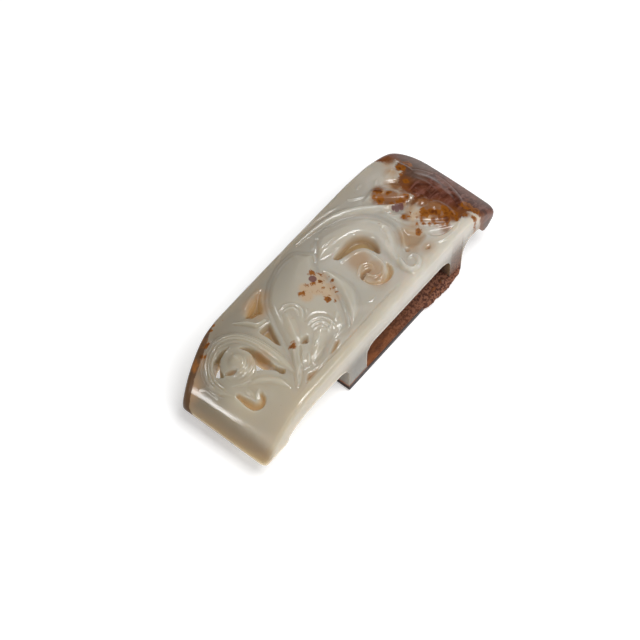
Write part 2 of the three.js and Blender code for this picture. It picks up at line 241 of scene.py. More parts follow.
# raised lines on the forms
beads = [
    {"path": [(-19.2, -3.4), (-18, -1.4), (-15.7, 3.2), (-13.3, 6.8), (-9.8, 9.2), (-6, 10.5), (-3, 10.8),
              (-0.3, 10.3), (0.9, 8.8), (1.9, 6.9), (0.9, 5.6)], "half": [0.3, 0.45, 0.45, 0.45, 0.45, 0.3],
     "lift": [0.1, 0.2, 0.2, 0.2, 0.2, 0.25]},
    {"path": [(-1.7, -1.6), (-2.9, -3.9), (-4.2, -6.1), (-5.5, -7.8), (-6.8, -9.1)],
     "half": [0.3, 0.4, 0.4, 0.4, 0.3], "lift": [0.05, 0.2, 0.25, 0.3, 0.3]},
    {"path": [(-13.2, 1.7), (-14.4, -0.4), (-15.9, -3)], "half": [0.9, 1.35, 0.9], "lift": [0.35, 0.6, 0.4],
     "roof": True},
    {"path": arcPath(-12.7, 1.1, 2.5, -62, 100, 7), "half": [0.25, 0.38, 0.38, 0.25],
     "lift": [0.2, 0.42, 0.38, 0.15]},
    {"path": arcPath(-12.8, 1.1, 1.7, -55, 90, 6), "half": [0.25, 0.32, 0.25], "lift": [0.2, 0.34, 0.15]},
    {"path": [(-10.4, -5.3), (-12.4, -6.3), (-15, -7.8), (-17.8, -8.9)], "half": [0.9, 1.3, 1.2, 0.6],
     "lift": [0.3, 0.6, 0.5, 0.2], "roof": True},
    {"path": arcPath(-11.8, -6.1, 3.1, -22, 96, 7), "half": [0.25, 0.36, 0.36, 0.25],
     "lift": [0.25, 0.4, 0.36, 0.15]},
    {"path": arcPath(-11.9, -6.2, 2.35, -18, 92, 6), "half": [0.25, 0.3, 0.25], "lift": [0.2, 0.34, 0.15]},
    {"path": arcPath(-12.1, -6.3, 1.65, 10, 98, 5), "half": [0.22, 0.28, 0.2], "lift": [0.15, 0.25, 0.12]},
    {"path": [(-15.2, -7.1), (-14.3, -6.9), (-13.1, -6.7)], "half": [0.2, 0.3, 0.2],
     "lift": [0.15, 0.3, 0.15]},
    {"path": [(-17.2, -8.8), (-15.4, -8.7), (-13.4, -8.1)], "half": [0.2, 0.32, 0.2],
     "lift": [0.15, 0.32, 0.15]},
    {"path": [(-12.3, -5.6), (-11.2, -6), (-10.2, -6.6)], "half": [0.2, 0.3, 0.2], "lift": [0.1, 0.25, 0.15]},
    {"path": [(-17.1, -7.3), (-17.9, -7.9), (-18.8, -8.5)], "half": [0.3, 0.4, 0.3],
     "lift": [0.25, 0.4, 0.25]},
    {"path": [(-19.2, -7.4), (-18.2, -6.4), (-17, -5.9)], "half": [0.2, 0.3, 0.2], "lift": [0.1, 0.25, 0.1]},
    {"path": [(-18.2, -4.2), (-19.6, -5.6), (-21.2, -7.4), (-22.8, -8.9)], "half": [0.35, 0.5, 0.5, 0.35],
     "lift": [0.3, 0.4, 0.35, 0.2]},
    {"path": [(-20.6, -8.2), (-22, -9), (-23.6, -9.7)], "half": [0.3, 0.4, 0.3], "lift": [0.2, 0.35, 0.3]},
    {"path": [(-10.5, -8.5), (-8.8, -8.4), (-7.2, -7.9)], "half": [0.2, 0.3, 0.2], "lift": [0.1, 0.22, 0.1]},
    {"path": [(-10, -6.9), (-9.8, -6.7)], "half": [0.35, 0.35], "lift": [0.3, 0.3]},
    {"path": [(-9, -6.5), (-8.8, -6.2)], "half": [0.32, 0.32], "lift": [0.25, 0.25]},
    {"path": [(-7.6, -6.4), (-6.3, -5.7)], "half": [0.5, 0.5], "lift": [0.28, 0.28]},
    {"path": [(-16.5, 9.8), (-15, 10.2), (-12.8, 10.4), (-11, 10.2)], "half": [0.3, 0.5, 0.5, 0.3],
     "lift": [0.1, 0.22, 0.22, 0.1]},
    {"path": [(-5, 11.7), (-2, 12.2), (1, 12.5), (5, 12.4), (9, 11.9), (12.5, 11.1), (14.6, 10.3)],
     "half": [0.3, 0.45, 0.45, 0.45, 0.45, 0.4, 0.3], "lift": [0.05, 0.16, 0.18, 0.18, 0.18, 0.18, 0.08]},
    {"path": [(5.6, 8.9), (8, 8.3), (10, 7.6), (12, 6.6), (13.5, 5.4), (14.9, 3.8), (15.9, 2), (16.3, 0),
              (15.8, -1.9), (14.3, -4.2), (12.7, -6.2), (11.5, -8.2), (10.9, -9.8), (11.4, -11.1),
              (12.6, -11.4)],
     "half": [0.6, 0.8, 0.9, 1.0, 1.1, 1.2, 1.2, 1.1, 0.9, 0.7, 0.6],
     "lift": [0.2, 0.35, 0.4, 0.45, 0.5, 0.5, 0.5, 0.45, 0.45, 0.5, 0.35]},
    {"path": [(2.5, 7.2), (3.4, 7.9), (4.5, 8.6)], "half": [0.4, 0.8, 0.6], "lift": [0.2, 0.4, 0.2],
     "roof": True},
    {"path": [(3.4, 6.5), (4.6, 6.5)], "half": [0.28, 0.28], "lift": [0.2, 0.2]},
    {"path": [(5, 6.4), (5.2, 6.2)], "half": [0.28, 0.28], "lift": [0.18, 0.18]},
    {"path": [(5.6, 6.2), (7.1, 6.0)], "half": [0.28, 0.28], "lift": [0.18, 0.14]},
    {"path": [(4, 1.5), (5.6, 1.1), (7.4, 0.7), (8.8, -0.2), (9.4, -1.6)],
     "half": [0.5, 0.4, 0.4, 0.4, 0.4], "lift": [0.3, 0.18, 0.12, 0.12, 0.2]},
    {"path": [(9.4, -1.8), (9.3, -3.4), (9.0, -5.2), (8.1, -6.4), (6.7, -7.1), (5.2, -6.9)],
     "half": [0.3, 0.38, 0.42, 0.5, 0.5, 0.3], "lift": [0.2, 0.34, 0.36, 0.4, 0.4, 0.2]},
    {"path": [(3.9, -3.2), (4.8, -2.6), (5.9, -2.3), (6.9, -2.8), (7.3, -3.7), (6.9, -4.7)],
     "half": [0.4, 0.5, 0.5, 0.45, 0.4, 0.3], "lift": [0.3, 0.42, 0.4, 0.36, 0.3, 0.1]},
    {"path": [(5.1, -4.3), (5.3, -5.5), (6, -6.2), (7.2, -6.4)], "half": [0.3, 0.38, 0.38, 0.25],
     "lift": [0.3, 0.4, 0.35, 0.15]},
    {"path": [(4.2, -6.9), (5.4, -7.4), (6.8, -7.4)], "half": [0.3, 0.4, 0.3], "lift": [0.15, 0.25, 0.1]},
    {"path": [(-0.3, -8.3), (0.3, -8.9), (1.2, -9.1), (1.9, -8.8)], "half": [0.2, 0.26, 0.26, 0.2],
     "lift": [0.08, 0.18, 0.18, 0.08]},
    {"path": arcPath(15.4, -1.0, 0.9, 0, 250, 8), "half": [0.2, 0.24, 0.2], "lift": [0.08, 0.14, 0.06]},
    {"path": arcPath(13.2, -3.6, 0.9, 20, 240, 8), "half": [0.2, 0.22, 0.2], "lift": [0.06, 0.1, 0.05]},
    {"path": [(17, 9.9), (18.2, 8.8), (19.7, 7.9)], "half": [0.3, 0.4, 0.3], "lift": [0.2, 0.32, 0.15]},
    {"path": [(20.4, 10.3), (21.4, 10.3)], "half": [0.35, 0.35], "lift": [0.14, 0.14]},
    {"path": [(22.4, 7.4), (23.8, 5.3), (25, 3), (26, 1.2), (26.9, -0.2)],
     "half": [0.4, 0.55, 0.55, 0.55, 0.4], "lift": [0.1, 0.3, 0.35, 0.35, 0.3]},
    {"path": [(22.8, 7.5), (24, 8.2), (24.8, 8.5)], "half": [0.3, 0.4, 0.3], "lift": [0.15, 0.18, 0.06]},
    {"path": [(18.9, 2.6), (19.3, 0.2), (19.4, -1.6), (20, -3.8), (21.3, -6), (22.9, -7.9), (24.6, -9.4)],
     "half": [0.3, 0.4, 0.5, 0.55, 0.6, 0.6, 0.4], "lift": [0.15, 0.25, 0.35, 0.45, 0.5, 0.5, 0.25]},
    {"path": [(24, -0.7), (25.4, -0.2), (26.8, -0.4), (27.4, -1.4)], "half": [0.3, 0.45, 0.45, 0.35],
     "lift": [0.1, 0.3, 0.3, 0.15]},
    {"path": [(27.3, -1.2), (27.3, -2.4)], "half": [0.35, 0.35], "lift": [0.3, 0.3]},
    {"path": [(27.2, -3.7), (27.5, -3.7)], "half": [0.4, 0.4], "lift": [0.3, 0.3]},
    {"path": [(25.4, -2.2), (26.2, -2.6)], "half": [1.2, 1.2], "lift": [0.35, 0.35]},
    {"path": [(26.5, -4.9), (27.3, -5.3)], "half": [1.5, 1.5], "lift": [0.4, 0.4]},
    {"path": [(28.8, 2), (29, 0.2), (29, -1.8)], "half": [0.3, 0.45, 0.3], "lift": [0.05, 0.12, 0.05]},
    {"path": [(30.4, 2.4), (30.8, 0), (30.2, -2.8), (29, -3.6)], "half": [0.6, 0.8, 0.8, 0.5],
     "lift": [0.05, 0.14, 0.14, 0.05]},
    {"path": [(32, 3.4), (33, 1.2), (33.2, -1.4)], "half": [0.8, 1.0, 0.7], "lift": [0.05, 0.14, 0.05]},
    {"path": [(34.6, -3.4), (33.3, -6), (31.7, -8.6), (30.2, -10)], "half": [0.8, 1.0, 1.0, 0.7],
     "lift": [0.08, 0.16, 0.16, 0.06]},
    {"path": [(31.8, 8.6), (32.2, 6.8), (32.3, 5.2)], "half": [0.4, 0.5, 0.4], "lift": [0.1, 0.25, 0.1]},
    {"path": [(-34.4, 6.6), (-33.2, 4.9), (-32.8, 3.4)], "half": [0.3, 0.4, 0.3], "lift": [0.05, 0.22, 0.1]},
    {"path": [(-30.6, 0.8), (-29.6, -0.5), (-28.3, -1.5)], "half": [0.25, 0.3, 0.25],
     "lift": [0.15, 0.25, 0.15]},
    {"path": [(-31, -1.9), (-30.7, -3.4), (-30.6, -5)], "half": [0.25, 0.3, 0.25], "lift": [0.15, 0.25, 0.2]},
    {"path": [(-30.4, -5), (-29.7, -4.2), (-28.6, -3.9)], "half": [0.25, 0.35, 0.25],
     "lift": [0.2, 0.25, 0.1]},
]
# strands along the tail and the striped ball
beads += [{"path": shifted(tailLine[1:11], off), "half": [0.2, 0.28, 0.28, 0.28, 0.2],
           "lift": [0.08, 0.27, 0.27, 0.27, 0.1]}
          for off in (-0.95, -0.3, 0.35, 1.0)]
beads += [{"path": arcPath(-27.1, 3.4, r, a, b, 6), "half": [0.2, 0.28, 0.2], "lift": [0.06, 0.18, 0.06]}
          for r, a, b in ((1.5, 262, 345), (2.1, 240, 340), (2.75, 238, 330), (3.4, 240, 322),
                          (4.1, 242, 300))]
beads += [{"path": [(-26.1, 4.9), (-26.5, 3.8), (-26.5, 2.7)], "half": [0.25, 0.4, 0.25],
           "lift": [0.08, 0.2, 0.08]}]

# fine cut lines
cuts = [
    {"path": [(-22, -10.6), (-14, -10.7), (-5, -10.7), (0, -10.6), (5, -10.8), (8, -11.2)],
     "half": [0.3, 0.35, 0.32, 0.32, 0.3, 0.2], "sink": [0.3, 0.3, 0.22, 0.2, 0.14, 0.0]},
    {"path": [(7, 9.6), (10, 9), (13, 7.6), (15.8, 5.4), (17.5, 2.6), (18, 0), (17.5, -2.4), (16.2, -4.4),
              (14.6, -6)],
     "half": [0.4, 0.5, 0.55, 0.6, 0.6, 0.6, 0.6, 0.5, 0.4],
     "sink": [0.1, 0.2, 0.25, 0.3, 0.3, 0.3, 0.3, 0.25, 0.1]},
    {"path": [(-11.2, 3.2), (-9.8, 1.4), (-10.4, -0.8), (-12, -2)], "half": [0.4, 0.5, 0.5, 0.4],
     "sink": [0.1, 0.16, 0.16, 0.1]},
    {"path": [(-12, -2.2), (-9.6, -2.6), (-8.2, -4.2), (-8, -6)], "half": [0.4, 0.5, 0.5, 0.4],
     "sink": [0.1, 0.16, 0.16, 0.1]},
    {"path": [(-16.8, -4.8), (-18.4, -6.2), (-20.4, -8.4)], "half": [0.35, 0.4, 0.3],
     "sink": [0.3, 0.35, 0.2]},
    {"path": [(19.9, 2.4), (21.2, 0.3), (22.8, -0.7)], "half": [0.4, 0.7, 0.4], "sink": [0.2, 0.5, 0.2]},
    {"path": [(28, 1), (28.2, -1), (28, -3)], "half": [0.3, 0.4, 0.3], "sink": [0.15, 0.25, 0.15]},
    {"path": [(29.8, 1.6), (29.9, -0.4), (29.4, -2.4)], "half": [0.25, 0.3, 0.25], "sink": [0.1, 0.2, 0.1]},
]

# deep places: outline or stroke, depth under the plain plate, width of the wall; paintedGlow is a share of
# painted light, a tan glow the hollow emits
pockets = [
    {"outline": [(-18.3, 8.5), (-16.6, 9.3), (-14.6, 9.8), (-12.4, 10.2), (-11, 10), (-12.5, 8.6),
                 (-14, 6.8), (-15.2, 6.1), (-16.3, 6.6), (-17.5, 7)], "depth": 1.7, "wall": 1.5},
    {"outline": [(-18.9, 4), (-17.2, 4.1), (-16, 3.6), (-17.1, 1.4), (-18.2, -0.7), (-18.7, -1.3),
                 (-19, -0.2), (-18.9, 2)],
     "depth": 2.3, "wall": 0.6},
    {"outline": [(-16.4, -4.3), (-15.2, -3.8), (-14.1, -4.5), (-14.6, -5.3), (-15.4, -5.7), (-16.1, -5.1)],
     "depth": 0.7, "wall": 0.8},
    {"outline": [(-14.3, -10.2), (-12.7, -9.4), (-11, -8.9), (-10.3, -9.6), (-11.4, -10.3), (-13, -10.6)],
     "depth": 0.9, "wall": 0.8},
    {"outline": [(-21.8, -10.3), (-20.2, -9.4), (-18.6, -9.9), (-17.2, -10.2), (-18.8, -10.6),
                 (-20.6, -10.7)], "depth": 0.8, "wall": 0.6},
    {"outline": [(3.5, 3.2), (4.2, 3.7), (6.2, 3.9), (8.4, 3.9), (10.4, 3.4), (11.9, 2), (12.4, 0),
                 (12, -2), (10.9, -3.4), (10.2, -3), (10, -1.4), (9.4, 0.1), (8, 1.1), (6, 1.6),
                 (4.2, 2.1)], "depth": 2.3, "wall": 1.0},
    {"outline": [(9.7, -5.6), (9.9, -6.8), (9, -8.2), (7.4, -8.8), (5.6, -8.5), (4.2, -7.6), (3.4, -6),
                 (3.3, -4.6), (3.9, -4.9), (4.1, -6.2), (4.9, -7.3), (6.3, -7.9), (8, -7.2), (9, -6.1)],
     "depth": 1.4, "wall": 0.6, "paintedGlow": 0.6},
    {"outline": [(3.4, -4.7), (3.6, -3.7), (4.8, -3.3), (6.2, -3.7), (6.4, -4.5), (5.6, -4.4), (4.6, -4.3)],
     "depth": 1.6, "wall": 0.4},
    {"outline": arcPath(14.8, -7.1, 0.7, 0, 300, 6), "depth": 1.0, "wall": 0.6, "tint": 0.4},
    {"outline": [(17, -10), (17.8, -9.7), (18.6, -10.1), (17.9, -10.6)], "depth": 1.0, "wall": 0.5,
     "tint": 0.4},
    {"outline": [(14.9, -6.6), (16.4, -4.6), (18.2, -3), (19, -4.2), (20.2, -6.4), (20.6, -8), (18.8, -8.6),
                 (16.6, -8.4)], "depth": 1.1, "wall": 1.6, "tint": 0.2},
    {"outline": [(20.2, -8), (21.4, -7.9), (23, -9.2), (25, -10.6), (26.6, -11), (25, -11.3), (22.8, -11),
                 (20.8, -9.8)], "depth": 1.2, "wall": 1.1, "tint": 0.0},
    {"outline": [(24, 6.8), (25.2, 5.2), (26.4, 3.6), (27.6, 4.8), (27, 6.2), (25.4, 7.2)], "depth": 0.9,
     "wall": 1.0, "tint": 0.15},
]
pockets += [
    {"path": [(-31.5, -1.1), (-31.5, -3.4), (-31.3, -5), (-30.4, -5.9), (-29.4, -5.7), (-28.9, -4.9)],
     "half": [0.6, 0.8, 0.85, 0.85, 0.75, 0.5], "depth": 1.4, "wall": 0.75, "paintedGlow": 0.6},
    {"path": [(-29.6, 3.5), (-28.9, 2.9), (-28.4, 2.3)], "half": [0.45, 0.65, 0.45], "depth": 0.8,
     "wall": 0.6},
]
gaps = [
    {"outline": [(-24.2, 4.7), (-23.2, 3.8), (-22.7, 2), (-22.6, -1), (-22.8, -3.5), (-22.3, -5.3),
                 (-22.9, -5.9), (-23.5, -5.4), (-23.6, -4.3), (-24.2, -3.2), (-25.1, -2.1), (-25.9, -1.1),
                 (-25, -0.2), (-24.2, 1), (-23.7, 2.6)], "depth": 9.0, "wall": 0.45, "paintedGlow": 1.0},
    {"outline": [(-30.6, 3.9), (-31, 5.2), (-30, 6.6), (-28.4, 7.3), (-26.4, 7.1), (-25.3, 6.5),
                 (-26.6, 6.6), (-28.2, 6.3), (-29.5, 5.3), (-30.2, 3.8)],
     "depth": 9.0, "wall": 0.4, "paintedGlow": 1.0},
]


print("forms to carve:", ", ".join(form["name"] for form in plateaus + ridges))

# how the forms rise and meet, in millimetres and powers
cutting = {
    "bulge": 0.4, "fall": 2.5, "blend": 0.2,   # closed forms: share of the round edge, fall outside, meeting
    "valley": 0.05, "valleyOut": 0.1, "valleyWide": 0.2,
    "seat": -1.4, "dome": 0.65, "ridgeFall": 3.0, "ridgeBlend": 0.15,
    "line": 1.5,   # how quickly a raised or cut line fades to its sides
    "lip": -0.08, "search": 0.4,   # deep places
}


def pocketInto(x, y, form):  # how far inside a deep place each near point lies
    if "outline" in form:
        return regionField(x, y, form["outline"], cutting["search"])
    near, d, along, half = strokeField(x, y, form, cutting["search"])
    return near, half - d


def carve(x, y):  # height of the carved top over the plain plate, in millimetres
    g, k = ground, cutting
    s, t = (x - g["x"]) / g["reach"], (y - g["y"]) / g["spread"]
    h = -g["depth"] * np.clip(1.0 - np.maximum(np.abs(s) ** 4, t ** 4), 0.0, 1.0)
    for form in plateaus:
        near, d = regionField(x, y, form["outline"])
        edge = np.clip(d / form["edge"], 0.0, 1.0)
        bulge = k["bulge"] * np.sqrt(1.0 - (1.0 - edge) ** 2) + (1.0 - k["bulge"]) * smoothStep(0.0, 1.0,
                                                                                                edge)
        lift = form["foot"] + (form["rise"] - form["foot"]) * bulge
        lift += form["swell"] * smoothStep(0.0, form["reach"], d) + k["fall"] * np.minimum(d, 0.0)
        h[near] = smoothMax(h[near], lift, k["blend"])
        h[near] -= k["valley"] * np.exp(-((d + k["valleyOut"]) / k["valleyWide"]) ** 2)
    for form in ridges:
        near, d, along, half = strokeField(x, y, form)
        u = d / half
        dome = np.clip(1.0 - u * u, 0.0, 1.0) ** k["dome"]
        lift = k["seat"] + (spread(form["crest"], along) - k["seat"]) * dome
        lift -= k["ridgeFall"] * np.maximum(0.0, u - 1.0)
        h[near] = smoothMax(h[near], lift, k["ridgeBlend"])
    for form in beads:
        near, d, along, half = strokeField(x, y, form, 0.1)
        u = d / half
        rise = np.clip(1.0 - u, 0.0, 1.0) if "roof" in form else np.clip(1.0 - u * u, 0.0, 1.0) ** k["line"]
        h[near] += spread(form["lift"], along) * rise
    for form in cuts:
        near, d, along, half = strokeField(x, y, form, 0.1)
        h[near] -= spread(form["sink"], along) * np.clip(1.0 - (d / half) ** 2, 0.0, 1.0) ** k["line"]
    for form in pockets + gaps:
        near, d = pocketInto(x, y, form)
        into = smoothStep(k["lip"], form["wall"], d)
        h[near] = h[near] * (1.0 - into) + np.minimum(h[near], -form["depth"]) * into
    return h


def topHeight(x, y, left, right):
    p = plate
    inside = np.minimum(np.minimum(left - y, y - right), p["edgeRound"])
    gap = p["edgeRound"] - inside
    edge = p["edgeRound"] - np.sqrt(np.clip(p["edgeRound"] ** 2 - gap ** 2, 0.0, None))
    place = p["creaseX"] + p["creaseLean"] * y
    away = np.sqrt((x - place) ** 2 + p["creaseSoft"] ** 2) - p["creaseSoft"]
    run = np.where(x < place, p["halfLength"] + place, p["creaseRun"])
    crease = p["creaseRise"] * np.clip(1.0 - away / run, 0.0, 1.0) * smoothStep(*p["creaseFade"], y)
    return surfaceAt(x, y) + carve(x, y) + crease - edge


def meshObject(name, bm):
    mesh = bpy.data.meshes.new(name)
    bm.to_mesh(mesh)
    bm.free()
    obj = bpy.data.objects.new(name, mesh)
    bpy.context.scene.collection.objects.link(obj)
    return obj


def points(mesh):  # the mesh's points as an array, in millimetres
    co = np.empty(len(mesh.vertices) * 3)
    mesh.vertices.foreach_get("co", co)
    return co.reshape(-1, 3) / mm


def carvedBlock():  # a fine grid lifted to the carving, with walls and a floor below
    bm = bmesh.new()
    bmesh.ops.create_grid(bm, x_segments=plate["gridX"], y_segments=plate["gridY"], size=mm)
    block = meshObject("carved block", bm)
    co = points(block.data)
    x = co[:, 0] * plate["halfLength"]
    left, right = leftEdge(x), rightEdge(x)
    y = (left + right) / 2 + co[:, 1] * (left - right) / 2
    z = topHeight(x, y, left, right)
    block.data.vertices.foreach_set("co", (np.stack([x, y, z], 1) * mm).ravel())
    bm = bmesh.new()
    bm.from_mesh(block.data)
    rim = [e for e in bm.edges if e.is_boundary]
    walls = bmesh.ops.extrude_edge_only(bm, edges=rim)["geom"]
    lower = [v for v in walls if isinstance(v, bmesh.types.BMVert)]
    for v in lower:
        v.co.z = plate["floor"] * mm
    bmesh.ops.contextual_create(bm, geom=[e for e in bm.edges if e.is_boundary])
    bmesh.ops.recalc_face_normals(bm, faces=bm.faces[:])
    bm.to_mesh(block.data)
    bm.free()
    return block


loop = {
    "lipBottom": 5.6, "plateBottom": 9.8,
    "near": -11.4, "far": 26.5,
    "slotNear": -5.6, "slotFar": 22.4, "slotFloor": 1.8, "slotRoof": 9.5,
    "foot": 0.7, "nearRound": 2.6, "farRound": 3.6,
    "edge": 0.35, "sharp": 0.8,   # mouths sharper than this angle are eased
    "clear": 22.0,
}


def bend(points, count=10):  # points along a Bezier curve of any order, its first point left out
    out = []
    for i in range(1, count + 1):
        layer = [Vector(p) for p in points]
        while len(layer) > 1:
            layer = [a.lerp(b, i / count) for a, b in zip(layer, layer[1:])]
        out.append(tuple(layer[0]))
    return out


def sideOutline():
    w, end = loop, plate["halfLength"]
    o = [(-end - 1, w["lipBottom"] + 0.6), (-end, w["lipBottom"] + 0.5)]
    o += bend([o[-1], (-end, w["lipBottom"]), (-end + 1, w["lipBottom"])], 5)
    o.append((-31.8, w["lipBottom"]))
    o += bend([o[-1], (-30.5, w["lipBottom"]), (-30.4, 7.2)], 6)
    o += bend([o[-1], (-28.4, 9), (-25, w["plateBottom"]), (-20, w["plateBottom"])], 12)
    o.append((-14.5, w["plateBottom"] - 0.2))
    o += bend([o[-1], (w["near"], 9.2), (w["near"], 6.2)], 10)
    o.append((w["near"], 0.7))
    o += bend([o[-1], (w["near"], 0), (w["near"] + 0.7, 0)], 4)
    o.append((w["far"] - 0.7, 0))
    o += bend([o[-1], (w["far"], 0), (w["far"], 0.7)], 4)
    o.append((w["far"] + 0.1, 5.2))
    o += bend([o[-1], (w["far"] + 0.3, 7.8), (28, 9.2), (29.6, 9.2)], 10)
    o.append((31.4, 9.1))
    o += bend([o[-1], (32.4, 8.8), (33.1, 7.2)], 6)
    o += bend([o[-1], (33.7, 5.9), (34.7, 6)], 6)
    o += bend([o[-1], (36.2, 6.3), (end - 0.4, 8.6)], 6)
    o += [(end, 9.2), (end + 1, 9.4), (end + 1, w["clear"]), (-end - 1, w["clear"])]
    return o


def slotOutline():
    w = loop
    corners = [
        (w["slotFar"] - w["foot"], w["slotFloor"] + w["foot"], w["foot"], -90),
        (w["slotFar"] - w["farRound"], w["slotRoof"] - w["farRound"], w["farRound"], 0),
        (w["slotNear"] + w["nearRound"], w["slotRoof"] - w["nearRound"], w["nearRound"], 90),
        (w["slotNear"] + w["foot"], w["slotFloor"] + w["foot"], w["foot"], 180),
    ]
    o = []
    for cx, cz, r, start in corners:
        o += arcPath(cx, cz, r, start, start + 90, 9)
    return o


def loopBlock():  # side outline with its slot, pushed across the width, mouths eased
    bm = bmesh.new()
    edges = []
    for outline in (sideOutline(), slotOutline()):
        ring = [bm.verts.new((x * mm, -plate["halfWidth"] * mm, z * mm)) for x, z in outline]
        edges += [bm.edges.new((a, b)) for a, b in zip(ring, ring[1:] + ring[:1])]
    faces = bmesh.ops.triangle_fill(bm, edges=edges, use_beauty=True)["geom"]
    faces = [f for f in faces if isinstance(f, bmesh.types.BMFace)]
    grown = bmesh.ops.extrude_face_region(bm, geom=faces)["geom"]
    bmesh.ops.translate(bm, verts=[v for v in grown if isinstance(v, bmesh.types.BMVert)],
                        vec=(0, 2 * plate["halfWidth"] * mm, 0))
    bmesh.ops.recalc_face_normals(bm, faces=bm.faces[:])
    mouths = [e for e in bm.edges if len(e.link_faces) == 2 and e.calc_face_angle() > loop["sharp"]
              and abs(e.verts[0].co.y - e.verts[1].co.y) < 1e-6]
    bmesh.ops.bevel(bm, geom=mouths, offset=loop["edge"] * mm, offset_type="OFFSET", segments=3, profile=0.5,
                    affect="EDGES", material=-1, clamp_overlap=True)
    return meshObject("loop block", bm)


crust = {
    "near": 13.2, "far": 26.3, "middle": (-12.75, 1.0), "size": (1.15, 0.95),
    "lumps": 0.42, "lumpSize": 1.3, "grains": 0.16, "grainSize": 0.45,
    "right": -14.1, "low": 0.03, "high": 2.5,
    "around": 36, "rings": 96, "blunt": 1.35,
    "toneSide": (-12.2, -12.7), "toneTop": (2.8, 2.2),   # where its colour begins
}


def skinCrust():  # a long ball roughened by two sizes of lump, kept over the base's underside
    c = crust
    bm = bmesh.new()
    bmesh.ops.create_uvsphere(bm, u_segments=c["around"], v_segments=c["rings"], radius=1.0)
    for v in bm.verts:
        along, side, up = v.co.z, v.co.x, v.co.y
        blunt = math.copysign(abs(along) ** c["blunt"], along)
        x = (c["near"] + c["far"]) / 2 + blunt * (c["far"] - c["near"]) / 2
        full = (1.0 - abs(blunt) ** 3) ** 0.5 / max(1e-3, math.sqrt(max(1e-6, 1.0 - along * along)))
        y, z = c["middle"][0] + side * full * c["size"][0], c["middle"][1] + up * full * c["size"][1]
        at = Vector((x, y, z))
        push = c["lumps"] * noise.noise(at / c["lumpSize"]) + c["grains"] * noise.noise(at / c["grainSize"])
        y += side * push
        z += up * push
        v.co = Vector((x, max(y, c["right"]), min(max(z, c["low"]), c["high"]))) * mm
    bmesh.ops.recalc_face_normals(bm, faces=bm.faces[:])
    return meshObject("crust", bm)


def joined(target, tool, operation):  # a Boolean made real, leaving one object
    step = target.modifiers.new("join", "BOOLEAN")
    step.operation = operation
    step.object = tool
    step.solver = "MANIFOLD"
    made = bpy.data.meshes.new_from_object(target.evaluated_get(bpy.context.evaluated_depsgraph_get()))
    target.modifiers.clear()
    target.data = made
    bpy.data.objects.remove(tool, do_unlink=True)
    return target


slide = carvedBlock()
print("carved block", len(slide.data.polygons))
block = loopBlock()
print("loop block", len(block.data.polygons))
slide = joined(slide, block, "INTERSECT")
slide = joined(slide, skinCrust(), "UNION")
slide.name = "jade_slide"
slide.data.shade_smooth()
print("slide", len(slide.data.polygons))

finish = slide.modifiers.new("even shading", "WEIGHTED_NORMAL")
finish.mode = "FACE_AREA"
finish.weight = 60
finish.keep_sharp = True

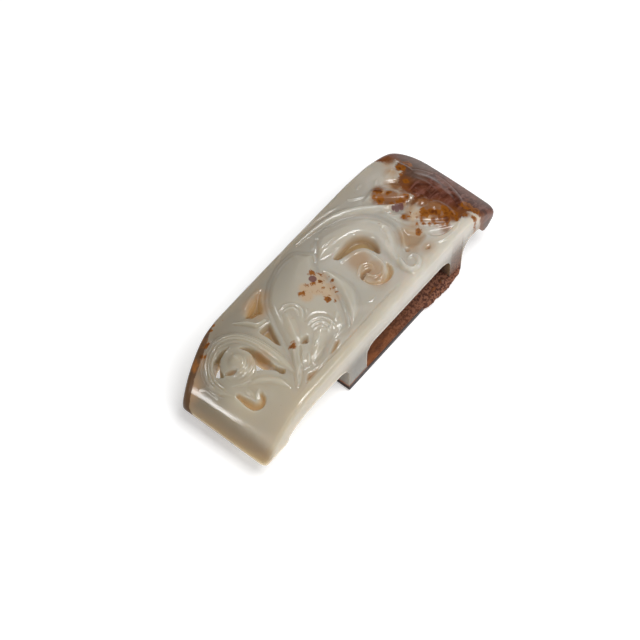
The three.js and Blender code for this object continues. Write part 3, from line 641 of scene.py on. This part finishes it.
# where the stone's colour changes: plan places and sizes in millimetres
skin = {
    "dark": [(26.3, 3.9), (27.8, 5.3), (29.9, 5.8), (29.8, 7.6), (31, 8.4), (32.4, 8.8), (32, 9.6),
             (30.6, 10.1), (29.2, 11), (28.9, 14), (34, 15), (41, 13), (41, -13), (37, -15), (33, -14.5),
             (31.8, -12), (30.8, -10.6), (28.6, -10.9), (26.8, -10.3), (26.4, -8.4), (27.2, -6),
             (26.6, -3.8), (25.8, -1.8), (25.6, 0.8)],
    "amber": [(22.4, 3.4, 2.1), (21.4, 5.2, 2.0), (22.4, 6.2, 1.6), (24.6, -5.2, 2.0), (26.9, -5.1, 2.2),
              (25.9, -2.6, 1.8), (25, -7.6, 2.4), (23.4, 0.9, 1.4), (24.8, 1.2, 1.2), (27.6, -8.6, 2.4),
              (28.4, 3.8, 1.6), (20.6, -2.2, 1.0), (31.2, 10.6, 1.8), (23, -5, 1.4), (26, 4.4, 1.4),
              (29.6, -10.4, 1.4), (25.6, 1.8, 1.4), (26.6, 2.8, 1.2), (24.8, -1.2, 1.1), (24, -9.6, 1.2),
              (33, -13.4, 0.9)],
    "cream": [(-7.4, 1.2, 1.6), (-6.3, 2.6, 1.4), (-4.6, 1.0, 2.0), (-2.8, 2.0, 1.8), (-3.6, -1.2, 1.9),
              (-2.2, -0.6, 1.4), (-1.2, 2.2, 1.3), (-3.2, -3, 1.0), (22.6, -1.8, 1.3), (22.6, -3.6, 1.1),
              (23.2, -6, 0.9), (21.4, -3.4, 1.0), (22.4, 5.2, 0.7)],
    "warm": [(17.6, -5.8, 2.8), (15.8, -7.6, 1.3), (17.8, -9.9, 1.2), (26, 4.7, 2.2), (25.8, -2.4, 1.5),
             (26.9, -5.1, 1.7), (6.6, -1.2, 2.6), (6.2, -4.4, 2.8), (5.6, -6.8, 2.2), (24.4, -1.2, 1.2),
             (23.4, 0.9, 1.2), (-15, 8, 2.6), (-12.4, 9, 1.6), (29.6, 9.4, 1.0), (28.4, 7.4, 1.6),
             (20, -4.6, 1.0), (21, 2.4, 1.0), (-23.6, 0, 1.8), (-35, 8.6, 2.6), (-31, 10.4, 2.0),
             (33.6, -13.2, 2.0)],
    "spots": [(-7.6, 2.5, 0.75), (-2.3, 4.0, 0.8), (-1.05, 3.0, 0.45), (-5.0, -2.2, 0.85),
              (-4.4, -3.7, 0.35), (-5.9, 1.0, 0.4), (-4.9, 0.05, 0.45), (-3.5, -0.2, 0.35),
              (-0.6, -0.05, 0.35), (-2.6, 1.5, 0.6), (-4.4, 2.1, 0.5), (-1.9, -1.0, 0.45),
              (-5.4, 2.8, 0.35), (-2.0, -2.5, 0.22), (-0.3, 1.2, 0.3), (-17.6, -3.6, 0.65),
              (-17.2, -3.3, 0.45), (19.7, -6.3, 0.6), (19.9, -5.9, 0.4), (22.2, 6.3, 1.1),
              (20.7, 4.4, 0.85), (22.8, 4.1, 0.6), (23.6, 4, 0.35), (20.3, 5.6, 0.4), (21.5, 2.0, 0.6),
              (22.6, 1.2, 0.75), (23.4, 0.6, 0.5), (24.5, 0.7, 0.5), (20.5, -1.8, 0.45), (20.9, -2.6, 0.4),
              (21.7, -2.7, 0.35), (22.3, -3.4, 0.35), (21.6, -4.1, 0.3), (23.9, -4.2, 0.7),
              (23.4, -5.2, 0.4), (24.7, -5.6, 0.85), (25.5, -6.7, 0.85), (23.5, -5, 0.9), (20.8, -5, 0.35),
              (21.6, -6, 0.4), (22.4, -7, 0.35), (23.2, -8, 0.45), (24.2, -9, 0.4), (22, -5.2, 0.3),
              (23.5, -7.1, 0.4), (24.6, -8, 0.6), (25.5, -8.8, 0.95), (26.4, -8.2, 0.8), (24.9, -9.6, 0.4),
              (27.2, -7.2, 0.9), (27.9, -9.2, 1.0), (27.3, -10.3, 0.6), (29.5, -10.8, 0.45),
              (30.3, -12.5, 0.6), (29.2, 5.7, 0.4), (31, 6.9, 1.1), (33.4, 7, 1.0), (28.4, 3.6, 0.6),
              (25.2, -1.4, 0.5), (32.2, -9.2, 1.3), (32.6, -11.4, 1.0), (-29.6, 10, 0.5),
              (-29.4, 9.3, 0.35), (-27.7, 10.2, 0.35), (-27.1, 10.3, 0.35), (-24.6, 12, 0.4),
              (-23.2, 12.3, 0.4)],
    "plum": [(-3.3, 3.0, 0.85), (21.4, 0.7, 0.6), (22.2, 0.2, 0.55), (20.8, 1.2, 0.4)],
    "softEdge": {"amber": 1.2, "cream": 1.2, "warm": 1.6, "spots": 0.5, "plum": 0.4},
    "edge": 1.5, "darkUp": (3.0, 5.0), "up": (4.0, 6.0),   # heights where the colours begin
    "stripFrom": -20.5, "stripWide": 1.8, "stripGrow": 9.0, "stripEdge": 1.2,
    "pocketEdge": (-0.4, 1.1), "pocketLow": 2.2,
}


def patchTone(x, y, patches, edge):  # nothing far off, a half on the patch's edge, one inside
    tone = np.zeros(len(x))
    for px, py, r in patches:
        tone = np.maximum(tone, np.clip(0.5 + (r - np.hypot(x - px, y - py)) / (2 * edge), 0.0, 1.0))
    return tone


def stoneTones(x, y, z):
    s = skin
    upper = smoothStep(*s["up"], z)
    tones = {}
    near, d = regionField(x, y, s["dark"], 3.0)
    dark = np.zeros(len(x))
    dark[near] = np.clip(0.5 + d / (2 * s["edge"]), 0.0, 1.0)
    tones["dark"] = dark * smoothStep(*s["darkUp"], z)
    strip = s["stripWide"] * smoothStep(s["stripFrom"], s["stripFrom"] - s["stripGrow"], x)
    inStrip = np.clip(0.5 + (strip - (leftEdge(x) - y)) / s["stripEdge"], 0.0, 1.0)
    tones["strip"] = inStrip * smoothStep(s["stripFrom"] + 2, s["stripFrom"], x)
    for name, edge in s["softEdge"].items():
        tones[name] = patchTone(x, y, s[name], edge) * upper
    pocket, paintedGlow = np.zeros(len(x)), np.zeros(len(x))
    sunk = surfaceAt(x, y) - z
    for form in pockets + gaps:
        near, d = pocketInto(x, y, form)
        low = min(form["depth"], s["pocketLow"])
        into = smoothStep(*s["pocketEdge"], d) * smoothStep(-0.2 * low, 0.7 * low, sunk[near])
        pocket[near] = np.maximum(pocket[near], into * form.get("tint", 1.0))
        # painted light: how strongly each hollow emits its tan glow
        paintedGlow[near] = np.maximum(paintedGlow[near], into * form.get("paintedGlow", 0.0))
    tones["pocket"] = pocket * upper
    tones["paintedGlow"] = paintedGlow * upper
    c = crust
    rough = smoothStep(c["near"] - 0.6, c["near"] + 0.6, x) * smoothStep(c["far"] + 0.6, c["far"] - 0.4, x)
    tones["crust"] = rough * smoothStep(*c["toneSide"], y) * smoothStep(*c["toneTop"], z)
    return tones


x, y, z = points(slide.data).T
for name, tone in stoneTones(x, y, z).items():
    slide.data.attributes.new(name, "FLOAT", "POINT").data.foreach_set("value", tone)
print("tones set")

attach(slide, "root")
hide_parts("slide")


class Socket:  # a shader socket that can be used in sums
    def __init__(self, tree, out=None):
        self.tree = tree
        self.out = out

    def node(self, kind, settings=None, sockets=None, output=0):
        made = self.tree.nodes.new(kind)
        for key, value in (settings or {}).items():
            setattr(made, key, value)
        for key, value in (sockets or {}).items():
            if isinstance(value, Socket):
                self.tree.links.new(value.out, made.inputs[key])
            else:
                made.inputs[key].default_value = value
        return Socket(self.tree, made.outputs[output])

    def math(self, operation, a, b=0.0):
        return self.node("ShaderNodeMath", {"operation": operation}, {0: a, 1: b})

    def __add__(self, other):
        return self.math("ADD", self, other)

    def __radd__(self, other):
        return self.math("ADD", other, self)

    def __sub__(self, other):
        return self.math("SUBTRACT", self, other)

    def __rsub__(self, other):
        return self.math("SUBTRACT", other, self)

    def __mul__(self, other):
        return self.math("MULTIPLY", self, other)

    def __rmul__(self, other):
        return self.math("MULTIPLY", other, self)

    def step(self, low, high):  # eased from nothing to one
        return self.node("ShaderNodeMapRange", {"interpolation_type": "SMOOTHSTEP"},
                         {"Value": self, "From Min": low, "From Max": high})

    def mix(self, a, b):  # this value blends two colours
        return self.node("ShaderNodeMix", {"data_type": "RGBA"}, {0: self, 6: a, 7: b}, 2)


jade = {
    "pale": (0.61, 0.57, 0.50, 1), "milk": (0.67, 0.635, 0.575, 1), "grey": (0.54, 0.505, 0.435, 1),
    # near: the stone's warmer tone at the near end, darkened further as painted shade
    "near": (0.475, 0.42, 0.31, 1), "facetStainAndShade": (0.30, 0.25, 0.175, 1), "rindAndShade": (0.27, 0.235, 0.18, 1),
    # wall: painted shade for the loop's lower walls
    "wall": (0.15, 0.125, 0.085, 1), "warm": (0.47, 0.31, 0.18, 1), "amber": (0.25, 0.09, 0.02, 1),
    "pocket": (0.46, 0.285, 0.11, 1), "cream": (0.60, 0.42, 0.26, 1),
    "russet": (0.29, 0.09, 0.005, 1), "russetDeep": (0.11, 0.024, 0.002, 1), "plum": (0.13, 0.04, 0.045, 1),
    "dark": (0.075, 0.018, 0.007, 1), "darkPale": (0.24, 0.10, 0.075, 1),
    "darkGrey": (0.12, 0.075, 0.05, 1), "darkRed": (0.155, 0.048, 0.024, 1),
    "rim": (0.21, 0.064, 0.010, 1),
    "strip": (0.085, 0.032, 0.009, 1), "base": (0.32, 0.115, 0.045, 1), "baseDark": (0.11, 0.042, 0.023, 1),
    "baseDeep": (0.03, 0.013, 0.01, 1),
    # paintedGlow: painted light, the tan glow emitted in the hollows
    "paintedGlow": (0.21, 0.135, 0.048, 1),
    "crust": (0.29, 0.13, 0.08, 1), "crustDeep": (0.09, 0.037, 0.027, 1),
    "baseTop": 2.2,
    # where the stone's tints and its painted shade begin and end, in millimetres
    "nearShadeSpan": (-34.0, 16.0), "cornerShadeSpan": (30.0, 43.0), "facetShadeSpan": (-36.6, -34.2),
    "leftShadeSpan": (2.0, 15.0), "leftShadeLean": 0.12, "wallShadeSpan": (7.5, 13.0), "wallShadeFrom": (-20.0, -12.0),
    "gloss": 0.1, "bending": 1.61, "skinBending": 1.12, "skinCoat": 0.28, "skinRough": 0.14,
    "depth": 7.0,   # how far light travels in the stone, in millimetres
}


def jadeMaterial():
    c = jade
    material = bpy.data.materials.new("jade")
    material.use_nodes = True
    tree = material.node_tree
    shader = tree.nodes["Principled BSDF"]
    s = Socket(tree)
    place = s.node("ShaderNodeTexCoord", output="Object")

    def grain(size, detail=3.0, rough=0.55, distortion=0.0):  # noise with a grain of so many millimetres
        sockets = {"Vector": place, "Scale": 1.0 / (size * mm), "Detail": detail, "Roughness": rough,
                   "Distortion": distortion}
        return s.node("ShaderNodeTexNoise", None, sockets, "Fac")

    def along(axis):  # a place's distance along an axis, in millimetres
        return s.node("ShaderNodeSeparateXYZ", None, {"Vector": place}, axis) * (1.0 / mm)

    def tone(name):
        return s.node("ShaderNodeAttribute", {"attribute_name": name}, None, "Fac")

    reach, aside, height = along("X"), along("Y"), along("Z")
    clouds, flecks, fine = grain(14.0, 2.0), grain(2.2, 4.0), grain(0.5, 3.0)
    mottle, veil = grain(1.1, 4.0, 0.6, 0.6), grain(7.0, 2.0, 0.4, 1.0)
    turned = s.node("ShaderNodeMapping", None, {"Vector": place, "Rotation": (0, 0, math.radians(-28)),
                                                "Scale": (0.35, 1.6, 1.0)})
    streaks = s.node("ShaderNodeTexNoise", None, {"Vector": turned, "Scale": 700.0, "Detail": 4.0,
                                                  "Roughness": 0.6}, "Fac")
    wobble = (flecks - 0.5) * 0.5 + (fine - 0.5) * 0.3

    colour = clouds.step(0.3, 0.7).mix(c["grey"], c["pale"])
    colour = (veil.step(0.5, 0.8) * 0.6).mix(colour, c["milk"])
    # the near end painted darker and warmer: partly the stone's warmer tone there, partly painted shade
    colour = ((1 - reach.step(*c["nearShadeSpan"])) * (0.75 + 0.6 * (clouds - 0.5))).mix(colour, c["near"])
    # painted shade on the near left corner, with some darkening from the skin there
    colour = ((aside - reach).step(*c["cornerShadeSpan"]) * 0.85).mix(colour, c["rindAndShade"])
    # the near end facet painted darker: partly its tan stain, partly painted shade
    colour = (1 - (reach + wobble).step(*c["facetShadeSpan"])).mix(colour, c["facetStainAndShade"])
    # painted shade along the left margin, which faces away from the lamps
    colour = ((aside - reach * c["leftShadeLean"]).step(*c["leftShadeSpan"]) * 0.8).mix(colour, c["rindAndShade"])
    # painted shade: the loop's walls darkened below the plate
    colour = ((1 - height.step(*c["wallShadeSpan"])) * reach.step(*c["wallShadeFrom"])).mix(colour, c["wall"])
    warm = (tone("warm") + wobble * 0.3).step(0.1, 1.0)
    colour = (warm * 0.8).mix(colour, c["warm"])
    amber = (tone("amber") + wobble * 0.8).step(0.25, 0.85)
    colour = (amber * 0.85).mix(colour, c["amber"])
    cream = (tone("cream") + wobble * 0.7).step(0.35, 0.8)
    colour = (cream * 0.7).mix(colour, c["cream"])
    pocket = tone("pocket")
    colour = (pocket * 0.95).mix(colour, c["pocket"])

    speckle = cream * (grain(0.7, 3.0, 0.6, 0.5) - 0.55) * 3.0
    spotTone = tone("spots") + (mottle - 0.5) * 1.8 + (fine - 0.5) * 0.5 + speckle
    spots = spotTone.step(0.3, 0.72)
    spotColour = (spotTone * 0.5 + flecks).step(0.8, 1.25).mix(c["russet"], c["russetDeep"])
    darkTone = tone("dark")
    dark = (darkTone + wobble * 1.2).step(0.38, 0.62)
    darkColour = grain(4.0, 3.0, 0.55, 0.8).step(0.42, 0.6).mix(c["dark"], c["darkRed"])
    darkColour = (streaks.step(0.45, 0.68) * 0.7).mix(darkColour, c["darkPale"])
    darkColour = (clouds.step(0.5, 0.62) * 0.6).mix(darkColour, c["darkGrey"])
    rim = s.math("MAXIMUM", dark * (1 - (darkTone + wobble).step(0.55, 0.9)), amber)
    darkColour = (rim * 0.7).mix(darkColour, c["rim"])
    colour = dark.mix(colour, darkColour)
    colour = (spots * 0.95).mix(colour, spotColour)
    plum = (tone("plum") + (fine - 0.5) * 0.2).step(0.4, 0.65)
    colour = (plum * 0.85).mix(colour, c["plum"])

    strip = (tone("strip") + wobble).step(0.35, 0.6)
    colour = (strip * 0.85).mix(colour, flecks.step(0.55, 0.75).mix(c["strip"], c["russet"]))

    base = 1 - (height + wobble * 1.2).step(c["baseTop"] - 0.25, c["baseTop"] + 0.25)
    baseColour = (streaks * 0.6 + flecks * 0.4).step(0.3, 0.7).mix(c["baseDark"], c["base"])
    baseColour = height.step(1.5, 1.78).mix(c["baseDeep"], baseColour)
    colour = base.mix(colour, baseColour)
    crustTone = tone("crust")
    crustColour = fine.step(0.4, 0.6).mix(c["crustDeep"], c["crust"])
    colour = crustTone.mix(colour, crustColour)

    covered = dark
    for part in (spots, plum, strip, base, crustTone):
        covered = s.math("MAXIMUM", covered, part)
    rough = c["gloss"] + 0.05 * (flecks - 0.5) + 0.22 * pocket + 0.32 * crustTone + c["skinRough"] * covered
    polish = (fine - 0.5) * 0.35 + (flecks - 0.5) * 0.4
    polish = polish + crustTone * (fine - 0.5) * 4.0 + dark * (streaks - 0.5) * 1.2
    normal = s.node("ShaderNodeBump", None, {"Strength": 0.25, "Distance": 0.00006, "Height": polish},
                    "Normal")
    skinShader = tree.nodes.new("ShaderNodeBsdfPrincipled")  # the opaque skin over the stone
    for one in (shader, skinShader):
        for key, value in {"Base Color": colour, "Roughness": rough, "Normal": normal}.items():
            tree.links.new(value.out, one.inputs[key])
        one.inputs["IOR"].default_value = c["bending"]
    # painted light: the hollows emit a tan glow, as if lit from within
    tree.links.new(tone("paintedGlow").mix((0, 0, 0, 1), c["paintedGlow"]).out, shader.inputs["Emission Color"])
    shader.inputs["Emission Strength"].default_value = 1.0
    skinShader.inputs["IOR"].default_value = c["skinBending"]
    coat = c["skinCoat"] * (1 - s.math("MAXIMUM", base, crustTone))
    tree.links.new(coat.out, skinShader.inputs["Coat Weight"])
    skinShader.inputs["Coat Roughness"].default_value = 2 * c["skinRough"]
    shader.subsurface_method = "RANDOM_WALK"
    shader.inputs["Subsurface Weight"].default_value = 1.0
    shader.inputs["Subsurface Radius"].default_value = (1.0, 0.8, 0.6)
    shader.inputs["Subsurface Scale"].default_value = c["depth"] * mm
    stone, cover = Socket(tree, shader.outputs[0]), Socket(tree, skinShader.outputs[0])
    both = s.node("ShaderNodeMixShader", None, {0: covered, 1: stone, 2: cover})
    tree.links.new(both.out, tree.nodes["Material Output"].inputs["Surface"])
    return material


slide.data.materials.clear()
slide.data.materials.append(jadeMaterial())
slide.data.polygons.foreach_set("material_index", np.zeros(len(slide.data.polygons), np.int32))
print("jade set")

bm = bmesh.new()
bmesh.ops.create_grid(bm, x_segments=1, y_segments=1, size=2.0)
floor = meshObject("floor", bm)
floor.location.z = -0.0001
pale = bpy.data.materials.new("pale floor")
pale.use_nodes = True
paleShader = pale.node_tree.nodes["Principled BSDF"]
paleShader.inputs["Base Color"].default_value = (0.85, 0.85, 0.85, 1)
paleShader.inputs["Emission Color"].default_value = (1, 1, 1, 1)
paleShader.inputs["Emission Strength"].default_value = 0.4
paleShader.inputs["Roughness"].default_value = 0.9
paleShader.inputs["Specular IOR Level"].default_value = 0.0
floor.data.materials.append(pale)

view = {"azimuth": -51.18, "elevation": 58.0, "distance": 406.46, "target": (-5.741, -0.863, 8.0),
        "lens": 112.5}
camera = bpy.data.objects.new("camera", bpy.data.cameras.new("camera"))
bpy.context.scene.collection.objects.link(camera)
az, el = math.radians(view["azimuth"]), math.radians(view["elevation"])
back = Vector((math.sin(az) * math.cos(el), -math.cos(az) * math.cos(el), math.sin(el)))
camera.location = (Vector(view["target"]) + back * view["distance"]) * mm
camera.rotation_euler = back.to_track_quat("Z", "Y").to_euler()
camera.data.lens = view["lens"]
camera.data.sensor_width = 36
camera.data.clip_start = 0.01
bpy.context.scene.camera = camera

# soft boxes: direction from the stone, distance, width, height and power
studio = [
    {"name": "right box", "from": (-0.16, -0.81, 0.56), "away": 0.6, "wide": 0.12, "high": 0.06,
     "power": 0.32},
    {"name": "near box", "from": (-0.815, 0.332, 0.476), "away": 0.6, "wide": 0.14, "high": 0.07,
     "power": 0.3},
    {"name": "left box", "from": (-0.1, 0.63, 0.77), "away": 0.6, "wide": 0.08, "high": 0.08, "power": 0.13},
    {"name": "top box", "from": (0.05, -0.34, 0.94), "away": 0.8, "wide": 0.4, "high": 0.4, "power": 4.5},
]
for box in studio:
    lamp = bpy.data.lights.new(box["name"], "AREA")
    lamp.shape = "RECTANGLE"
    lamp.size, lamp.size_y, lamp.energy = box["wide"], box["high"], box["power"]
    stand = bpy.data.objects.new(box["name"], lamp)
    toward = Vector(box["from"]).normalized()
    stand.location = toward * box["away"]
    stand.rotation_euler = toward.to_track_quat("Z", "Y").to_euler()
    bpy.context.scene.collection.objects.link(stand)

world = bpy.data.worlds.new("studio")
world.use_nodes = True
world.node_tree.nodes["Background"].inputs["Color"].default_value = (1, 1, 1, 1)
world.node_tree.nodes["Background"].inputs["Strength"].default_value = 0.13
bpy.context.scene.world = world
bpy.context.scene.view_settings.view_transform = "Standard"
